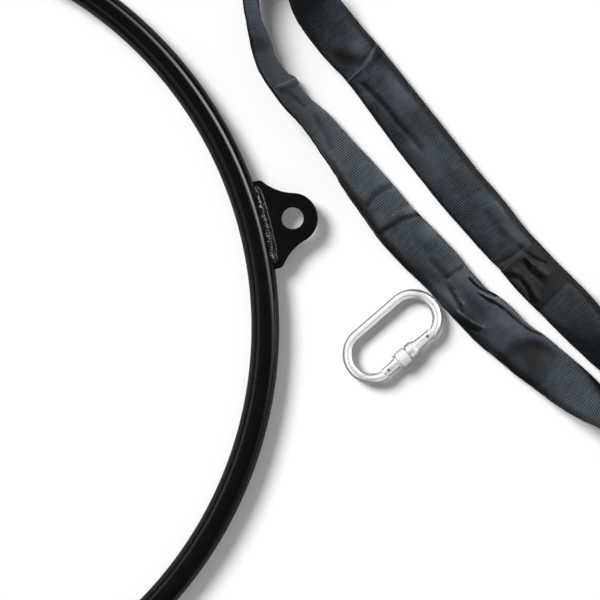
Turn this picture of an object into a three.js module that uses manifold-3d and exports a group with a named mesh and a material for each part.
// A lyra hoop laid out with its rigging: the steel hoop with its hanging tab, a screw-gate oval
// carabiner and an endless round sling, each lying flat on the floor as they are sold.
// Millimetres, +Z up. The hoop's centre is the local origin, and the whole set is shifted at the
// end so that the origin is the middle of its footprint.

import * as THREE from "three";
import { mergeVertices } from "three/addons/utils/BufferGeometryUtils.js";
import Module from "manifold-3d";

const wasm = await Module();
wasm.setup();

// General fits
const clearance = 0.3; // between neighbouring pieces
const overrun = 2; // how far a cutter passes the face that it cuts
const mergeWithin = 0.001;

// Hoop: one steel tube bent to a circle
const hoopDiameter = 800;
const tubeDiameter = 26.9;
const tubeWall = 2.6;
const hoopSteps = 60;
const tubeSides = 16;
const boreSides = 8;

// Butt joint of the tube under the tab, with a sleeve inside and a ground weld
const jointRootGap = 2;
const jointTopGap = 6;
const jointSides = 32;
const spigotWall = 2.5;
const spigotSpans = 1; // steps of the hoop that it reaches into each end

// Hanging tab: a profiled plate in the hoop's plane, welded to the outside of the tube
const tabAngle = 14.3;
const tabThickness = 8;
const tabHoleDiameter = 21;
const tabEndRadius = 24.3;
const tabReach = 26.1; // from the tube to the middle of the hole
const tabBaseWidth = 86.8;
const tabFlankRadius = 50;
const tabFlankAngle = 74; // how far round the end each hollow flank starts, in degrees
const tabCornerRadius = 6;
const tabEdgeBreak = 0.8;
const tabArcSteps = 7;
const coverMargin = 8; // how far the shaping tube runs past the tab's base
const coverSteps = 12;
const coverSides = 24;

// Fillet welds along both faces of the tab
const weldLength = 78;
const weldLeg = 6;
const weldCrown = 1.1;
const weldRootDepth = 2.6;
const weldEndShare = 0.05; // what is left of its size at each end
const weldEndPower = 8; // how suddenly it ends
const ripplePitch = 4.8;
const rippleSteps = 3;
const rippleCrownShare = 0.35;
const rippleLegShare = 0.09;
const weldPoints = 4;

// Carabiner: a bent round bar with a tongue at each end
const ovalLength = 109.6;
const ovalWidth = 57.4;
const barDiameter = 10;
const barSteps = 48;
const barSides = 14;
const gateInset = 1.5; // how far the gate's axis lies inside the bar's line
const tongueThickness = 4;
const noseTongueHeight = 9.2;
const hingeTongueRadius = 5;
const hingeTongueRun = 8.2; // from the hinge rivet into the bar
const heelHeight = 2.8; // the corner of the hinge tongue that pushes the plunger back
const lipLength = 4; // what the nose has beyond the latch pin
const lipChamfer = 1;
const noseGap = 0.5;
const tongueArcSteps = 6;
const forkArcSteps = 16;

// Gate: a round bar slotted at both ends, which turns on the hinge rivet
const gateDiameter = 11;
const gateSides = 20;
const rivetSpacing = 49.5;
const hingeFromMiddle = 25.3;
const gateBeyondLatch = 5.2;
const forkEndRadius = 6.2;
const noseSlant = 12; // degrees that the joint between gate and nose leans
const latchSlotRun = 5.2; // from the latch pin to the floor of its slot
const hingeSlotRun = 6.5; // from the hinge rivet to the floor of its slot
const rivetDiameter = 3;
const rivetRecess = 0.3;
const rivetDome = 0.5;
const rivetSides = 12;

// Spring and plunger inside the gate
const springBore = 4.8;
const springBoreDepth = 17;
const springDiameter = 4;
const springWire = 0.6;
const springTurns = 6;
const springStepsPerTurn = 10;
const wireSides = 5;
const plungerHeadLength = 4;
const plungerStemDiameter = 2.2;
const plungerStemLength = 7;

// Screw sleeve: a knurled barrel on the gate's thread, and the collar behind it
const barrelDiameter = 17.2;
const sleeveFront = 13.6; // from the gate's middle to the open end of the barrel
const flangeWidth = 1.3;
const flangeGrooveWidth = 1.1;
const flangeGrooveDepth = 1.7;
const barrelLength = 10.8;
const barrelChamfer = 0.6;
const neckDiameter = 13.2;
const neckGap = 1.6;
const neckGrip = 3.8;
const collarDiameter = 16.6;
const collarLength = 7.6;
const collarTaperLength = 3.2;
const collarTaperDiameter = 13.6;
const sleeveSides = 24;
const knurlCount = 24;
const knurlDepth = 0.45;

// Where the loose pieces lie
const carabinerFromHoop = 109.3; // from the hoop's outside to the middle of the oval
const carabinerBelowHoopCentre = 8.6;
const carabinerTurn = 41;
const slingBesideCarabiner = 0.1;

// Round sling: a woven sleeve round an endless core
const slingWorkingLength = 600;
const slingWidth = 48;
const slingThickness = 8;
const sleeveWall = 1.3;
const cuffLength = 52;
const cuffRun = 12; // over which the sleeve thins towards the cuff
const sleeveEndGap = 0.6;
const slingRings = 60;
const ringSpacing = 4; // the closest that a ring may lie to one of the cuff's own
const slingSides = 10;
const slingFullness = 0.7;

const besideCarabinerWidthShare = 0.88; // how wide the sling is there

// The sling's route round its loop, anticlockwise from the middle of its sewn cuff. Each row gives
// x and y from the place beside the carabiner as shares of the working length, how flat the strap
// lies, from 0 on its edge to 1 flat, and its width as a share of the sling's.
const slingRouteShares = [
  [0.136, 0.015, 1, 0.98],
  [0.102, 0.053, 1, 0.98],
  [0.058, 0.103, 1, 1],
  [0.007, 0.163, 1, 1.02],
  [-0.038, 0.219, 1, 1.02],
  [-0.083, 0.278, 1, 1],
  [-0.129, 0.338, 1, 0.98],
  [-0.177, 0.393, 0.98, 0.98],
  [-0.217, 0.443, 0.75, 1],
  [-0.248, 0.484, 0.4, 1],
  [-0.278, 0.509, 0.2, 1],
  [-0.307, 0.506, 0.15, 1],
  [-0.323, 0.481, 0.15, 1],
  [-0.323, 0.449, 0.15, 1],
  [-0.317, 0.416, 0.15, 1],
  [-0.309, 0.39, 0.17, 0.97],
  [-0.3, 0.359, 0.19, 0.95],
  [-0.277, 0.323, 0.24, 0.93],
  [-0.248, 0.289, 0.27, 0.93],
  [-0.213, 0.254, 0.36, 0.93],
  [-0.185, 0.219, 0.45, 0.93],
  [-0.156, 0.182, 0.56, 0.93],
  [-0.127, 0.144, 0.68, 0.93],
  [-0.095, 0.104, 0.8, 0.93],
  [-0.065, 0.071, 0.9, 0.94],
  [-0.03, 0.035, 1, 0.93],
  [0.003, -0.003, 1, 0.9],
  [0.032, -0.033, 1, 0.9],
  [0.063, -0.06, 1, 0.96],
  [0.097, -0.092, 1, 0.93],
  [0.147, -0.13, 0.95, 0.96],
  [0.19, -0.164, 0.8, 0.98],
  [0.23, -0.194, 0.55, 1],
  [0.263, -0.216, 0.3, 1],
  [0.29, -0.216, 0.18, 1],
  [0.3, -0.191, 0.15, 1],
  [0.285, -0.159, 0.22, 1],
  [0.255, -0.119, 0.42, 1],
  [0.22, -0.074, 0.68, 1],
  [0.185, -0.034, 0.9, 0.98],
];

// Places that follow from the sizes
const hoopRadius = hoopDiameter / 2;
const tubeRadius = tubeDiameter / 2;
const bendRadius = hoopRadius - tubeRadius;
const boreRadius = tubeRadius - tubeWall;
const tabHoleAt = hoopRadius + tabReach;
const barRadius = barDiameter / 2;
const ovalRadius = ovalWidth / 2 - barRadius;
const ovalStraight = ovalLength / 2 - ovalWidth / 2;
const gateRadius = gateDiameter / 2;
const gateLine = gateInset - ovalRadius;
const latchAt = hingeFromMiddle - rivetSpacing;
const gateEnd = latchAt - gateBeyondLatch;
const slotWidth = tongueThickness + 2 * clearance;
const springFloor = hingeFromMiddle - hingeSlotRun - springBoreDepth;
const plungerTip = hingeFromMiddle - hingeTongueRadius - clearance;
const sleeveBore = gateDiameter + 2 * clearance;

const degrees = THREE.MathUtils.degToRad;
const carabinerPlace = new THREE.Vector3(hoopRadius + carabinerFromHoop, -carabinerBelowHoopCentre, 0);
const halfSlingBeside = (slingWidth * besideCarabinerWidthShare) / 2;
const slingPlace = new THREE.Vector3(ovalLength / 2 + slingBesideCarabiner + halfSlingBeside, 0, 0)
  .applyAxisAngle(new THREE.Vector3(0, 0, 1), degrees(carabinerTurn))
  .add(carabinerPlace);

// Finishes
const finishes = {
  gloss: new THREE.MeshStandardMaterial({ color: 0x0d0d0e, roughness: 0.18, metalness: 0 }),
  bare: new THREE.MeshStandardMaterial({ color: 0x6e7072, roughness: 0.5, metalness: 1 }),
  zinc: new THREE.MeshStandardMaterial({ color: 0xc6c9c4, roughness: 0.28, metalness: 1 }),
  sleeve: new THREE.MeshStandardMaterial({ color: 0xcfc6c2, roughness: 0.3, metalness: 1 }),
  spring: new THREE.MeshStandardMaterial({ color: 0x9a9c9e, roughness: 0.35, metalness: 1 }),
  webbing: new THREE.MeshStandardMaterial({ color: 0x2b2e33, roughness: 0.85, metalness: 0 }),
  yarn: new THREE.MeshStandardMaterial({ color: 0xd9d6cc, roughness: 0.9, metalness: 0 }),
};

// A closed geometry as a solid, with its faces pointing out
function solid(geometry) {
  const bare = geometry.clone();
  bare.deleteAttribute("normal");
  bare.deleteAttribute("uv");
  const merged = mergeVertices(bare, mergeWithin);
  const vertProperties = merged.attributes.position.array;
  const triVerts = new Uint32Array(merged.index.array);
  const made = new wasm.Manifold(new wasm.Mesh({ numProp: 3, vertProperties, triVerts }));
  if (made.volume() > 0) return made;
  triVerts.reverse();
  return new wasm.Manifold(new wasm.Mesh({ numProp: 3, vertProperties, triVerts }));
}

// A solid as a geometry for a mesh
function geometryOf(made) {
  const mesh = made.getMesh();
  const geometry = new THREE.BufferGeometry();
  geometry.setAttribute("position", new THREE.BufferAttribute(new Float32Array(mesh.vertProperties), 3));
  geometry.setIndex(new THREE.BufferAttribute(new Uint32Array(mesh.triVerts), 1));
  geometry.computeVertexNormals();
  return geometry;
}

function piece(name, made, finish) {
  const mesh = new THREE.Mesh(geometryOf(made), finish);
  mesh.name = name;
  return mesh;
}

// The points of a regular polygon, with a corner on the x axis
function polygon(radius, sides) {
  const points = [];
  for (let i = 0; i < sides; i += 1) {
    const angle = (2 * Math.PI * i) / sides;
    points.push(new THREE.Vector2(radius * Math.cos(angle), radius * Math.sin(angle)));
  }
  return points;
}

// A level arc round the local Z axis
class LevelArc extends THREE.Curve {
  constructor(radius, start, end) {
    super();
    this.radius = radius;
    this.start = start;
    this.end = end;
  }

  getPoint(t, target = new THREE.Vector3()) {
    const angle = THREE.MathUtils.lerp(this.start, this.end, t);
    return target.set(this.radius * Math.cos(angle), this.radius * Math.sin(angle), 0);
  }
}

// A round bar or tube along a curve
function barAlong(path, steps, radius, sides, hole = 0, holeSides = sides) {
  const outline = new THREE.Shape(polygon(radius, sides));
  if (hole > 0) outline.holes.push(new THREE.Path(polygon(hole, holeSides)));
  return solid(new THREE.ExtrudeGeometry(outline, { steps, extrudePath: path, bevelEnabled: false }));
}

// A turned solid on the X axis, from pairs of radius and place along it
function turned(profile, sides) {
  const points = profile.map(([radius, along]) => new THREE.Vector2(radius, along));
  const geometry = new THREE.LatheGeometry(points, sides);
  return solid(geometry.rotateZ(-Math.PI / 2));
}

// A plain round pin on the X axis
function roundBar(radius, from, to, sides) {
  return turned([[0, from], [radius, from], [radius, to], [0, to]], sides);
}

// Points with no point twice, in the wanted direction
function single(points, clockwise) {
  const kept = points.filter((p, i) => p.distanceTo(points[(i + 1) % points.length]) > mergeWithin);
  return THREE.ShapeUtils.isClockWise(kept) === clockwise ? kept : kept.reverse();
}

// An outline with its arcs drawn as short lines, and its holes running against it
function drawn(outline, arcSteps) {
  const { shape, holes } = outline.extractPoints(arcSteps);
  const clean = new THREE.Shape(single(shape, false));
  clean.holes = holes.map((hole) => new THREE.Path(single(hole, true)));
  return clean;
}

// A flat outline of the oval's plane, given its thickness about that plane
function plate(outline, thickness, arcSteps) {
  const flat = drawn(outline, arcSteps);
  const geometry = new THREE.ExtrudeGeometry(flat, { depth: thickness, bevelEnabled: false });
  return solid(geometry.translate(0, 0, -thickness / 2));
}

// A skin over rings of points, closed round the loop or capped at both ends
function loft(rings, closed) {
  const count = rings[0].length;
  const positions = rings.flat().flatMap((p) => [p.x, p.y, p.z]);
  const index = [];
  const spans = closed ? rings.length : rings.length - 1;
  for (let i = 0; i < spans; i += 1) {
    const here = i * count;
    const next = ((i + 1) % rings.length) * count;
    for (let k = 0; k < count; k += 1) {
      const other = (k + 1) % count;
      index.push(here + k, here + other, next + k);
      index.push(here + other, next + other, next + k);
    }
  }
  if (!closed) {
    const last = (rings.length - 1) * count;
    for (let k = 1; k < count - 1; k += 1) {
      index.push(0, k + 1, k);
      index.push(last, last + k, last + k + 1);
    }
  }
  const geometry = new THREE.BufferGeometry();
  geometry.setAttribute("position", new THREE.Float32BufferAttribute(positions, 3));
  geometry.setIndex(index);
  return solid(geometry);
}

// The hoop's tube: a C of one tube whose ends stand a root gap apart and are opened to a V
function makeHoopTube() {
  const half = jointRootGap / 2 / bendRadius;
  const path = new LevelArc(bendRadius, half, 2 * Math.PI - half);
  const tube = barAlong(path, hoopSteps, tubeRadius, tubeSides, boreRadius, boreSides);
  return tube.subtract(jointGroove(0, tubeRadius + overrun));
}

// The V between the tube's ends, as a ring round the tube, drawn in from both sides by a margin
function jointGroove(margin, outerRadius) {
  const slope = (jointTopGap - jointRootGap) / 2 / tubeWall;
  const root = jointRootGap / 2 - margin;
  const top = root + slope * (outerRadius - boreRadius);
  const inner = boreRadius + margin;
  const start = root + slope * margin;
  const ring = [[inner, -start], [outerRadius, -top], [outerRadius, top], [inner, start], [inner, -start]];
  return turned(ring, jointSides).rotate([0, 0, 90]).translate([bendRadius, 0, 0]);
}

// A ring of points round the tube's line, with a corner at its lowest point
function tubeRing(angle, radius) {
  return polygon(radius, boreSides).map((p) => {
    const reach = bendRadius + p.y;
    return new THREE.Vector3(reach * Math.cos(angle), reach * Math.sin(angle), p.x);
  });
}

// The sleeve inside the joint, bent in step with the tube that it fits
function makeSpigot() {
  const half = jointRootGap / 2 / bendRadius;
  const step = (2 * Math.PI - 2 * half) / hoopSteps;
  const reaches = Array.from({ length: spigotSpans + 1 }, (_, i) => half + i * step);
  const angles = [...reaches.map((a) => -a).reverse(), ...reaches];
  const outer = boreRadius - clearance / Math.cos(Math.PI / boreSides);
  const long = [angles[0] - step / 2, ...angles, angles.at(-1) + step / 2];
  const shell = loft(angles.map((a) => tubeRing(a, outer)), false);
  return shell.subtract(loft(long.map((a) => tubeRing(a, outer - spigotWall)), false));
}

// The tab's outline: a straight base, rounded corners, hollow flanks and a round end about the hole
function tabOutline() {
  const flankAngle = degrees(tabFlankAngle);
  const flankReach = tabEndRadius + tabFlankRadius;
  const flankX = tabHoleAt + flankReach * Math.cos(flankAngle);
  const flankY = flankReach * Math.sin(flankAngle);
  const half = tabBaseWidth / 2;
  const cornerY = half - tabCornerRadius;
  const drop = flankY - cornerY;
  const run = Math.sqrt((tabFlankRadius + tabCornerRadius) ** 2 - drop ** 2);
  const cornerX = flankX - run;
  const meet = Math.atan2(drop, run);
  const base = bendRadius + tubeRadius / 2;
  const right = Math.PI / 2;
  const outline = new THREE.Shape();
  outline.moveTo(base, -half);
  outline.lineTo(cornerX, -half);
  outline.absarc(cornerX, -cornerY, tabCornerRadius, -right, -meet, false);
  outline.absarc(flankX, -flankY, tabFlankRadius, Math.PI - meet, Math.PI - flankAngle, true);
  outline.absarc(tabHoleAt, 0, tabEndRadius, -flankAngle, flankAngle, false);
  outline.absarc(flankX, flankY, tabFlankRadius, flankAngle - Math.PI, meet - Math.PI, true);
  outline.absarc(cornerX, cornerY, tabCornerRadius, meet, right, false);
  outline.lineTo(base, half);
  outline.closePath();
  const hole = new THREE.Path();
  hole.absarc(tabHoleAt, 0, tabHoleDiameter / 2, 0, 2 * Math.PI, true);
  outline.holes.push(hole);
  return outline;
}

// The stretch of tube under the tab, grown by a clearance, that its base and welds are shaped to
function tubeCover() {
  const half = (tabBaseWidth / 2 + coverMargin) / bendRadius;
  const path = new LevelArc(bendRadius, -half, half);
  return barAlong(path, coverSteps, tubeRadius + clearance, coverSides);
}

function makeTab() {
  const geometry = new THREE.ExtrudeGeometry(drawn(tabOutline(), tabArcSteps), {
    depth: tabThickness - 2 * tabEdgeBreak,
    bevelEnabled: true,
    bevelThickness: tabEdgeBreak,
    bevelSize: tabEdgeBreak,
    bevelOffset: -tabEdgeBreak,
    bevelSegments: 1,
  });
  geometry.translate(0, 0, tabEdgeBreak - tabThickness / 2);
  return solid(geometry).subtract(tubeCover());
}

// One ring of the weld bead, at a place along the tab's base
function weldRing(along) {
  const end = (2 * along) / weldLength;
  const fade = Math.sqrt(Math.max(1 - end ** weldEndPower, weldEndShare));
  const ripple = Math.cos((2 * Math.PI * along) / ripplePitch);
  const leg = weldLeg * fade * (1 + rippleLegShare * ripple);
  const crown = weldCrown * fade * (1 + rippleCrownShare * ripple);
  const face = tabThickness / 2;
  const cornerAngle = Math.asin(face / tubeRadius);
  const toeAngle = cornerAngle + leg / tubeRadius;
  const corner = new THREE.Vector2(tubeRadius * Math.cos(cornerAngle), face);
  const plateToe = new THREE.Vector2(corner.x + leg, face - clearance);
  const tubeToe = new THREE.Vector2(Math.cos(toeAngle), Math.sin(toeAngle)).multiplyScalar(tubeRadius);
  const out = new THREE.Vector2(plateToe.y - tubeToe.y, tubeToe.x - plateToe.x).normalize().negate();
  const middle = plateToe.clone().lerp(tubeToe, 0.5).addScaledVector(out, 2 * crown);
  const crest = new THREE.QuadraticBezierCurve(plateToe, middle, tubeToe).getPoints(weldPoints);
  const root = corner.clone().addScaledVector(out, -weldRootDepth);
  const angle = along / hoopRadius;
  return [...crest, root].map((p) => {
    const radius = bendRadius + p.x;
    return new THREE.Vector3(radius * Math.cos(angle), radius * Math.sin(angle), p.y);
  });
}

function makeWeld(cover) {
  const rings = [];
  const steps = Math.round((weldLength / ripplePitch) * rippleSteps);
  for (let i = 0; i <= steps; i += 1) {
    rings.push(weldRing(weldLength * (i / steps - 1 / 2)));
  }
  const depth = tabThickness + 2 * clearance;
  const slab = new THREE.BoxGeometry(2 * tabBaseWidth, 2 * tabBaseWidth, depth);
  return loft(rings, false).subtract(cover).subtract(solid(slab.translate(hoopRadius, 0, 0)));
}

function makeHoop() {
  const group = new THREE.Group();
  const cover = tubeCover();
  const weld = makeWeld(cover);
  const seam = jointGroove(clearance, tubeRadius);
  group.add(piece("hoop_tube", makeHoopTube(), finishes.gloss));
  group.add(piece("joint_spigot", makeSpigot(), finishes.bare));
  group.add(piece("seam_weld", seam, finishes.gloss));
  group.add(piece("hanging_tab", makeTab(), finishes.gloss));
  group.add(piece("tab_weld_front", weld, finishes.gloss));
  group.add(piece("tab_weld_back", weld.rotate([180, 0, 0]), finishes.gloss));
  group.rotation.z = degrees(tabAngle);
  group.position.z = tubeRadius;
  return group;
}

// The line of the oval's bar: from the nose round its bend, along the spine and back to the hinge
class OvalLine extends THREE.Curve {
  getPoint(t, target = new THREE.Vector3()) {
    const bend = Math.PI * ovalRadius;
    const along = t * (2 * bend + 2 * ovalStraight);
    if (along < bend) {
      const angle = -Math.PI / 2 - along / ovalRadius;
      return target.set(ovalRadius * Math.cos(angle) - ovalStraight, ovalRadius * Math.sin(angle), 0);
    }
    const past = along - bend;
    if (past < 2 * ovalStraight) return target.set(past - ovalStraight, ovalRadius, 0);
    const angle = Math.PI / 2 - (past - 2 * ovalStraight) / ovalRadius;
    return target.set(ovalRadius * Math.cos(angle) + ovalStraight, ovalRadius * Math.sin(angle), 0);
  }
}

// Where the leaning joint between gate and nose lies at a height from the gate's axis
function noseJoint(height, gap) {
  return gateEnd - gap - height * Math.tan(degrees(noseSlant));
}

// The flat tongue at the nose, with the open notch that the latch pin drops into
function noseTongue() {
  const half = noseTongueHeight / 2;
  const notch = rivetDiameter / 2 + clearance;
  const root = gateEnd - barRadius;
  const tip = latchAt + lipLength;
  const outline = new THREE.Shape();
  outline.moveTo(root, gateLine - half);
  outline.lineTo(tip - lipChamfer, gateLine - half);
  outline.lineTo(tip, gateLine - half + lipChamfer);
  outline.lineTo(tip, gateLine + half - lipChamfer);
  outline.lineTo(tip - lipChamfer, gateLine + half);
  outline.lineTo(latchAt + notch, gateLine + half);
  outline.absarc(latchAt, gateLine, notch, 0, -Math.PI, true);
  outline.lineTo(latchAt - notch, gateLine + half);
  outline.lineTo(root, gateLine + half);
  outline.closePath();
  return plate(outline, tongueThickness, tongueArcSteps);
}

// The flat tongue at the hinge, round about the rivet but for the heel that works the plunger
function hingeTongue() {
  const root = hingeFromMiddle + hingeTongueRun;
  const outline = new THREE.Shape();
  outline.moveTo(root, gateLine - hingeTongueRadius);
  outline.lineTo(hingeFromMiddle, gateLine - hingeTongueRadius);
  outline.absarc(hingeFromMiddle, gateLine, hingeTongueRadius, -Math.PI / 2, -Math.PI, true);
  outline.lineTo(hingeFromMiddle - hingeTongueRadius, gateLine + heelHeight);
  outline.lineTo(hingeFromMiddle - heelHeight, gateLine + hingeTongueRadius);
  outline.lineTo(root, gateLine + hingeTongueRadius);
  outline.closePath();
  const hole = new THREE.Path();
  hole.absarc(hingeFromMiddle, gateLine, rivetDiameter / 2 + clearance, 0, 2 * Math.PI, true);
  outline.holes.push(hole);
  return plate(outline, tongueThickness, tongueArcSteps);
}

function makeFrame() {
  const bar = barAlong(new OvalLine(), barSteps, barRadius, barSides);
  const reach = barDiameter;
  const opened = new THREE.Shape();
  opened.moveTo(noseJoint(reach, noseGap), gateLine + reach);
  opened.lineTo(noseJoint(-reach, noseGap), gateLine - reach);
  opened.lineTo(0, gateLine - reach);
  opened.lineTo(0, gateLine + reach);
  opened.closePath();
  const fork = new THREE.Shape();
  fork.absarc(hingeFromMiddle, gateLine, forkEndRadius + noseGap, 0, 2 * Math.PI, false);
  const depth = barDiameter + overrun;
  const ends = bar.subtract(plate(opened, depth, forkArcSteps)).subtract(plate(fork, depth, forkArcSteps));
  return ends.add(noseTongue()).add(hingeTongue());
}

// The gate seen from the side: a leaning nose end and a fork that is round about the rivet
function gateOutline() {
  const high = forkEndRadius;
  const outline = new THREE.Shape();
  outline.moveTo(noseJoint(-high, 0), gateLine - high);
  outline.lineTo(hingeFromMiddle, gateLine - high);
  outline.absarc(hingeFromMiddle, gateLine, forkEndRadius, -Math.PI / 2, Math.PI / 2, false);
  outline.lineTo(noseJoint(high, 0), gateLine + high);
  outline.closePath();
  return outline;
}

// A cutter for a rivet's hole through the gate
function crossHole(along) {
  const hole = roundBar(rivetDiameter / 2 + clearance, -gateDiameter, gateDiameter, rivetSides);
  return hole.rotate([0, 90, 0]).translate([along, gateLine, 0]);
}

// A cutter for the gap in a fork that a tongue turns in
function slot(from, to) {
  const box = new THREE.BoxGeometry(to - from, 2 * gateDiameter, slotWidth);
  return solid(box.translate((from + to) / 2, gateLine, 0));
}

function makeGate() {
  const beyond = gateDiameter;
  const from = gateEnd - beyond;
  const to = hingeFromMiddle + beyond;
  const bar = roundBar(gateRadius, from, to, gateSides).translate([0, gateLine, 0]);
  const hingeFloor = hingeFromMiddle - hingeSlotRun;
  const bore = roundBar(springBore / 2, springFloor, hingeFloor + overrun, rivetSides);
  return bar
    .intersect(plate(gateOutline(), 2 * gateDiameter, forkArcSteps))
    .subtract(slot(from, latchAt + latchSlotRun))
    .subtract(slot(hingeFloor, to))
    .subtract(bore.translate([0, gateLine, 0]))
    .subtract(crossHole(latchAt))
    .subtract(crossHole(hingeFromMiddle));
}

// A rivet across the gate, with low domed ends
function makeRivet(along) {
  const end = gateRadius - rivetRecess;
  const radius = rivetDiameter / 2;
  const shoulder = end - rivetDome;
  const profile = [
    [0, -end], [radius / 2, -end], [radius, -shoulder],
    [radius, shoulder], [radius / 2, end], [0, end],
  ];
  return turned(profile, rivetSides).rotate([0, 90, 0]).translate([along, gateLine, 0]);
}

// A wire's line round the X axis
class Helix extends THREE.Curve {
  constructor(radius, from, to, turns) {
    super();
    Object.assign(this, { radius, from, to, turns });
  }

  getPoint(t, target = new THREE.Vector3()) {
    const angle = 2 * Math.PI * this.turns * t;
    const along = THREE.MathUtils.lerp(this.from, this.to, t);
    return target.set(along, this.radius * Math.cos(angle), this.radius * Math.sin(angle));
  }
}

function makeSpring() {
  const margin = clearance + springWire / 2;
  const from = springFloor + margin;
  const to = plungerTip - plungerHeadLength - margin;
  const path = new Helix((springDiameter - springWire) / 2, from, to, springTurns);
  const coil = barAlong(path, springTurns * springStepsPerTurn, springWire / 2, wireSides);
  return coil.translate([0, gateLine, 0]);
}

function makePlunger() {
  const head = springBore / 2 - clearance;
  const back = plungerTip - plungerHeadLength;
  const stem = plungerStemDiameter / 2;
  const end = back - plungerStemLength;
  const profile = [[0, end], [stem, end], [stem, back], [head, back], [head, plungerTip], [0, plungerTip]];
  return turned(profile, rivetSides).translate([0, gateLine, 0]);
}

// The knurled barrel: a flange and groove at its open end, and a neck that the collar grips
function makeBarrel() {
  const radius = barrelDiameter / 2;
  const bore = sleeveBore / 2;
  const groove = radius - flangeGrooveDepth;
  const front = -sleeveFront;
  const flangeBack = front + flangeWidth;
  const start = flangeBack + flangeGrooveWidth;
  const stop = start + barrelLength;
  const neck = neckDiameter / 2;
  const neckEnd = stop + neckGap + neckGrip;
  const c = barrelChamfer;
  const profile = [
    [bore, front], [radius - c, front], [radius, front + c], [radius, flangeBack],
    [groove, flangeBack], [groove, start], [radius - c, start], [radius, start + c],
    [radius, stop - c], [radius - c, stop], [neck, stop], [neck, neckEnd],
    [bore, neckEnd], [bore, front],
  ];
  let barrel = turned(profile, sleeveSides);
  const side = 2 * knurlDepth * Math.SQRT2;
  const knurl = new THREE.BoxGeometry(barrelLength + flangeGrooveWidth, side, side);
  knurl.rotateX(Math.PI / 4).translate((start + stop) / 2, radius + knurlDepth, 0);
  const cutter = solid(knurl);
  for (let i = 0; i < knurlCount; i += 1) {
    barrel = barrel.subtract(cutter.rotate([(360 * i) / knurlCount, 0, 0]));
  }
  return barrel.translate([0, gateLine, 0]);
}

function makeCollar() {
  const radius = collarDiameter / 2;
  const bore = sleeveBore / 2;
  const seat = neckDiameter / 2 + clearance;
  const front = flangeWidth + flangeGrooveWidth + barrelLength + neckGap - sleeveFront;
  const seatEnd = front + neckGrip + clearance;
  const back = front + collarLength;
  const end = back + collarTaperLength;
  const taper = collarTaperDiameter / 2;
  const c = barrelChamfer;
  const profile = [
    [seat, front], [radius - c, front], [radius, front + c], [radius, back - c],
    [radius - c, back], [taper, back], [taper - c, end], [bore, end],
    [bore, seatEnd], [seat, seatEnd], [seat, front],
  ];
  return turned(profile, sleeveSides).translate([0, gateLine, 0]);
}

// The carabiner lies on its spine and its sleeve, so the oval leans a little
function makeCarabiner() {
  const oval = new THREE.Group();
  oval.add(piece("carabiner_frame", makeFrame(), finishes.zinc));
  oval.add(piece("gate", makeGate(), finishes.zinc));
  oval.add(piece("hinge_rivet", makeRivet(hingeFromMiddle), finishes.spring));
  oval.add(piece("latch_rivet", makeRivet(latchAt), finishes.spring));
  oval.add(piece("gate_spring", makeSpring(), finishes.spring));
  oval.add(piece("spring_plunger", makePlunger(), finishes.spring));
  oval.add(piece("locking_barrel", makeBarrel(), finishes.sleeve));
  oval.add(piece("sleeve_collar", makeCollar(), finishes.sleeve));
  const lean = Math.asin((barrelDiameter / 2 - barRadius) / (ovalRadius - gateLine));
  oval.rotation.x = -lean;
  const group = new THREE.Group();
  group.add(oval);
  group.rotation.z = degrees(carabinerTurn);
  group.position.copy(carabinerPlace).setZ(barRadius + ovalRadius * Math.sin(lean));
  return group;
}

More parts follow.
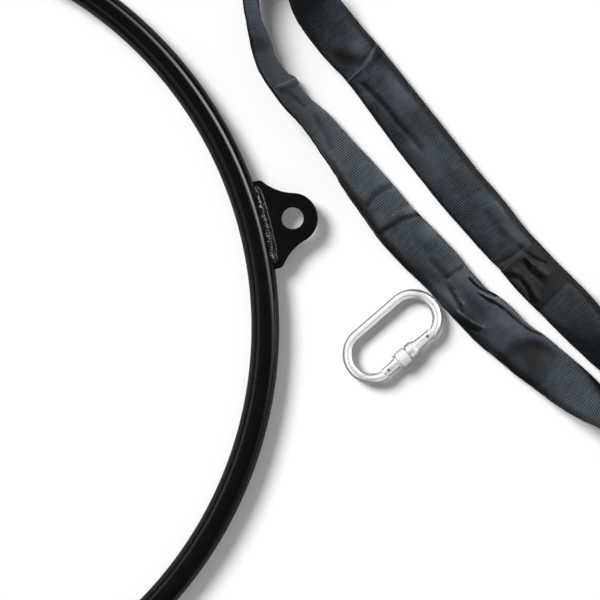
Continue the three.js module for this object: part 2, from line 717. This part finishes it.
// The sling's line in plan, and its section at a place along it
class SlingRoute {
  constructor() {
    const rows = slingRouteShares;
    const plan = rows.map(([x, y]) => {
      return new THREE.Vector3(x, y, 0).multiplyScalar(slingWorkingLength).add(slingPlace);
    });
    this.plan = new THREE.CatmullRomCurve3(plan, true, "centripetal");
    this.length = this.plan.getLength();
  }

  // The section at a place in millimetres along the route, drawn in from the outside by a margin
  ring(along, margin) {
    const share = THREE.MathUtils.euclideanModulo(along / this.length, 1);
    const t = this.plan.getUtoTmapping(share);
    const centre = this.plan.getPoint(t);
    const tangent = this.plan.getTangent(t);
    const { flat, width } = this.shapeAt(t);
    const tilt = (flat * Math.PI) / 2;
    const outward = new THREE.Vector3(tangent.y, -tangent.x, 0);
    const up = new THREE.Vector3(0, 0, 1);
    const across = outward.clone().multiplyScalar(Math.sin(tilt)).addScaledVector(up, Math.cos(tilt));
    const through = new THREE.Vector3().crossVectors(across, tangent);
    const halfWidth = width / 2;
    const halfThickness = slingThickness / 2;
    const full = this.outline(halfWidth, halfThickness, across, through);
    const lowest = Math.min(...full.map((p) => p.z));
    const inner = this.outline(halfWidth - margin, halfThickness - margin, across, through);
    return inner.map((p) => p.add(centre).addScaledVector(up, -lowest));
  }

  // How flat and how wide the strap is between the table's rows, in step with the plan's own points
  shapeAt(t) {
    const rows = slingRouteShares;
    const place = t * rows.length;
    const low = Math.floor(place) % rows.length;
    const high = (low + 1) % rows.length;
    const mix = place - Math.floor(place);
    const [, , flatHere, widthHere] = rows[low];
    const [, , flatNext, widthNext] = rows[high];
    return {
      flat: THREE.MathUtils.lerp(flatHere, flatNext, mix),
      width: slingWidth * THREE.MathUtils.lerp(widthHere, widthNext, mix),
    };
  }

  // The section's outline about its own middle, a rounded oval with nearly flat faces
  outline(halfWidth, halfThickness, across, through) {
    const points = [];
    for (let k = 0; k < slingSides; k += 1) {
      const angle = (2 * Math.PI * k) / slingSides;
      const x = Math.sign(Math.cos(angle)) * Math.abs(Math.cos(angle)) ** slingFullness * halfWidth;
      const y = Math.sign(Math.sin(angle)) * Math.abs(Math.sin(angle)) ** slingFullness * halfThickness;
      points.push(across.clone().multiplyScalar(x).addScaledVector(through, y));
    }
    return points;
  }

  // Places for rings all round the loop, closer where the route turns, with some at the cuff's ends
  stations() {
    const half = cuffLength / 2;
    const own = [half, half + cuffRun, this.length - half - cuffRun, this.length - half];
    const places = [];
    for (let i = 1; i < slingRings; i += 1) {
      const place = this.alongAt(i / slingRings);
      if (own.every((p) => Math.abs(p - place) > ringSpacing)) places.push(place);
    }
    return [...places, ...own].sort((a, b) => a - b);
  }

  // How far along the route a share of the table's rows is
  alongAt(t) {
    const lengths = this.plan.getLengths();
    const place = t * (lengths.length - 1);
    const low = Math.floor(place);
    return THREE.MathUtils.lerp(lengths[low], lengths[low + 1], place - low);
  }

  // How much thinner the sleeve is where the cuff is sewn over it, as a margin
  tuck(along) {
    const from = Math.min(along, this.length - along) - cuffLength / 2;
    const share = THREE.MathUtils.clamp(1 - from / cuffRun, 0, 1);
    return share * (sleeveWall + clearance);
  }
}

function makeSling() {
  const route = new SlingRoute();
  const places = route.stations();
  const closed = [0, ...places];
  const ends = [sleeveEndGap / 2, ...places, route.length - sleeveEndGap / 2];
  const outer = loft(ends.map((s) => route.ring(s, route.tuck(s))), false);
  const hollow = loft(closed.map((s) => route.ring(s, route.tuck(s) + sleeveWall)), true);
  const core = loft(closed.map((s) => route.ring(s, route.tuck(s) + sleeveWall + clearance)), true);
  const half = cuffLength / 2;
  const under = places.filter((s) => s < half || s > route.length - half);
  const inCuff = [0, ...under].map((s) => (s > route.length / 2 ? s - route.length : s));
  inCuff.sort((a, b) => a - b);
  const shell = [-half, ...inCuff, half].map((s) => route.ring(s, 0));
  const inside = [-half - overrun, ...inCuff, half + overrun].map((s) => route.ring(s, sleeveWall));
  const cuff = loft(shell, false).subtract(loft(inside, false));
  const group = new THREE.Group();
  group.add(piece("sling_sleeve", outer.subtract(hollow), finishes.webbing));
  group.add(piece("sling_core", core, finishes.yarn));
  group.add(piece("sling_cuff", cuff, finishes.webbing));
  return group;
}

// The set, shifted so that the origin is the middle of its footprint on the floor
const lyraHoopSet = new THREE.Group();
lyraHoopSet.add(makeHoop(), makeCarabiner(), makeSling());
lyraHoopSet.updateMatrixWorld(true);
const box = new THREE.Box3().setFromObject(lyraHoopSet, true);
const middle = box.getCenter(new THREE.Vector3());
lyraHoopSet.position.set(-middle.x, -middle.y, -box.min.z);

export default lyraHoopSet;
